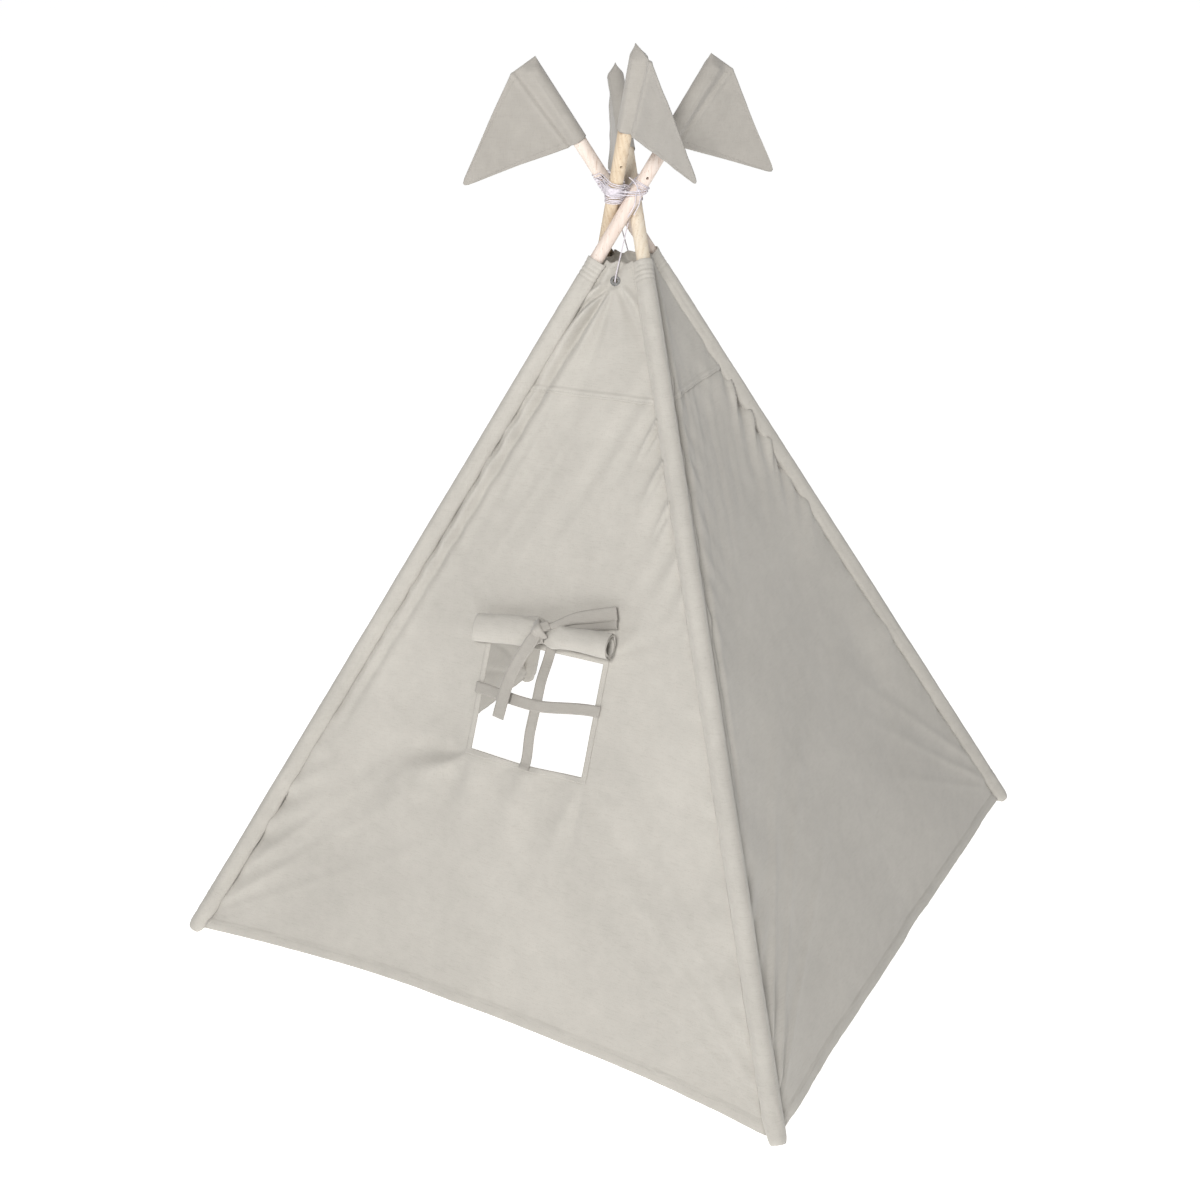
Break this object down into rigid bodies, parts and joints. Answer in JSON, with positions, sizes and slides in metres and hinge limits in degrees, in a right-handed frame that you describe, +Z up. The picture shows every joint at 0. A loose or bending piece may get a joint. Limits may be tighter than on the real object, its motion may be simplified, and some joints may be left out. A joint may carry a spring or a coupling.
{
  "type": "teepee tent",
  "caption": "Pole-framed play tent: crossed wooden poles in a sewn cotton cover with a barred window under a rolled flap, tied-back door curtains, corded eyelets and triangular pennants.",
  "frame": {"origin": "on the floor, straight below the point where the poles cross", "axes": "+Z up, -Y out of the window face, +X to the right as the window is faced"},
  "size_m": [1.2474, 1.2474, 1.5881],
  "materials": {
    "cotton": "plain-weave cotton canvas",
    "flag_cotton": "plain-weave cotton canvas",
    "cotton_tape": "folded and stitched cotton tape",
    "pine": "sanded, unvarnished",
    "cord": "braided cord",
    "eyelet_steel": "nickel-plated"
  },
  "bodies": {
    "crown": {"lashing": "cord", "lashing_knot": "cord"},
    "pole_a": {"pole_a": "pine", "sleeve_a": "cotton"},
    "pole_b": {"pole_b": "pine", "sleeve_b": "cotton"},
    "pole_c": {"pole_c": "pine", "sleeve_c": "cotton"},
    "pole_d": {"pole_d": "pine", "sleeve_d": "cotton"},
    "face_window": {"yoke_window": "cotton", "panel_window": "cotton", "window_bar_vertical": "cotton_tape", "window_bar_horizontal": "cotton_tape", "eyelet_window": "eyelet_steel", "cover_cord_window": "cord"},
    "face_right": {"yoke_right": "cotton", "panel_right": "cotton"},
    "face_door": {"yoke_door": "cotton", "door_curtain_left": "cotton", "door_curtain_right": "cotton", "curtain_tie_left": "cotton_tape", "curtain_tie_right": "cotton_tape", "eyelet_door": "eyelet_steel", "cover_cord_door": "cord"},
    "face_left": {"yoke_left": "cotton", "panel_left": "cotton"},
    "window_flap": {"window_flap_roll": "cotton", "window_tie_band": "cotton_tape", "window_tie_bow": "cotton_tape"},
    "flag_a": {"flag_a": "flag_cotton"},
    "flag_b": {"flag_b": "flag_cotton"},
    "flag_c": {"flag_c": "flag_cotton"},
    "flag_d": {"flag_d": "flag_cotton"}
  },
  "joints": [
    {"name": "pole_a_fold", "type": "hinge", "parent": "crown", "child": "pole_a", "pos_m": [0.01485, -0.01485, 1.305], "axis": [0.7071, -0.7071, 0], "range_deg": [0, 13]},
    {"name": "pole_b_fold", "type": "hinge", "parent": "crown", "child": "pole_b", "pos_m": [0.01485, 0.01485, 1.305], "axis": [0.7071, 0.7071, 0], "range_deg": [0, 13]},
    {"name": "pole_c_fold", "type": "hinge", "parent": "crown", "child": "pole_c", "pos_m": [-0.01485, 0.01485, 1.305], "axis": [-0.7071, 0.7071, 0], "range_deg": [0, 13]},
    {"name": "pole_d_fold", "type": "hinge", "parent": "crown", "child": "pole_d", "pos_m": [-0.01485, -0.01485, 1.305], "axis": [-0.7071, -0.7071, 0], "range_deg": [0, 13]},
    {"name": "face_window_fold", "type": "hinge", "parent": "crown", "child": "face_window", "pos_m": [0, 0, 1.305], "axis": [1, 0, 0], "range_deg": [0, 10.15], "deforming": ["yoke_window", "panel_window", "window_bar_vertical", "window_bar_horizontal"]},
    {"name": "face_right_fold", "type": "hinge", "parent": "crown", "child": "face_right", "pos_m": [0, 0, 1.305], "axis": [0, 1, 0], "range_deg": [0, 10.15], "deforming": ["yoke_right", "panel_right"]},
    {"name": "face_door_fold", "type": "hinge", "parent": "crown", "child": "face_door", "pos_m": [0, 0, 1.305], "axis": [-1, 0, 0], "range_deg": [0, 10.15], "deforming": ["yoke_door", "door_curtain_left", "door_curtain_right", "curtain_tie_left", "curtain_tie_right"]},
    {"name": "face_left_fold", "type": "hinge", "parent": "crown", "child": "face_left", "pos_m": [0, 0, 1.305], "axis": [0, -1, 0], "range_deg": [0, 10.15], "deforming": ["yoke_left", "panel_left"]},
    {"name": "window_flap_lift", "type": "hinge", "parent": "face_window", "child": "window_flap", "pos_m": [0.02747, -0.30277, 0.64872], "axis": [-0.9992, -0.0411, 0], "range_deg": [0, 40]},
    {"name": "flag_a_turn", "type": "hinge", "parent": "pole_a", "child": "flag_a", "pos_m": [0.01485, -0.01485, 1.305], "axis": [0.3855, 0.3855, 0.8384], "range_deg": [-35, 35]},
    {"name": "flag_b_turn", "type": "hinge", "parent": "pole_b", "child": "flag_b", "pos_m": [0.01485, 0.01485, 1.305], "axis": [-0.3855, 0.3855, 0.8384], "range_deg": [-35, 35]},
    {"name": "flag_c_turn", "type": "hinge", "parent": "pole_c", "child": "flag_c", "pos_m": [-0.01485, 0.01485, 1.305], "axis": [-0.3855, -0.3855, 0.8384], "range_deg": [-35, 35]},
    {"name": "flag_d_turn", "type": "hinge", "parent": "pole_d", "child": "flag_d", "pos_m": [-0.01485, -0.01485, 1.305], "axis": [0.3855, -0.3855, 0.8384], "range_deg": [-35, 35]}
  ],
  "couplings": [
    {"joint": "pole_b_fold", "follows": "pole_a_fold", "ratio": 1},
    {"joint": "pole_c_fold", "follows": "pole_a_fold", "ratio": 1},
    {"joint": "pole_d_fold", "follows": "pole_a_fold", "ratio": 1},
    {"joint": "face_window_fold", "follows": "pole_a_fold", "ratio": 0.777},
    {"joint": "face_right_fold", "follows": "pole_a_fold", "ratio": 0.777},
    {"joint": "face_door_fold", "follows": "pole_a_fold", "ratio": 0.777},
    {"joint": "face_left_fold", "follows": "pole_a_fold", "ratio": 0.777}
  ]
}
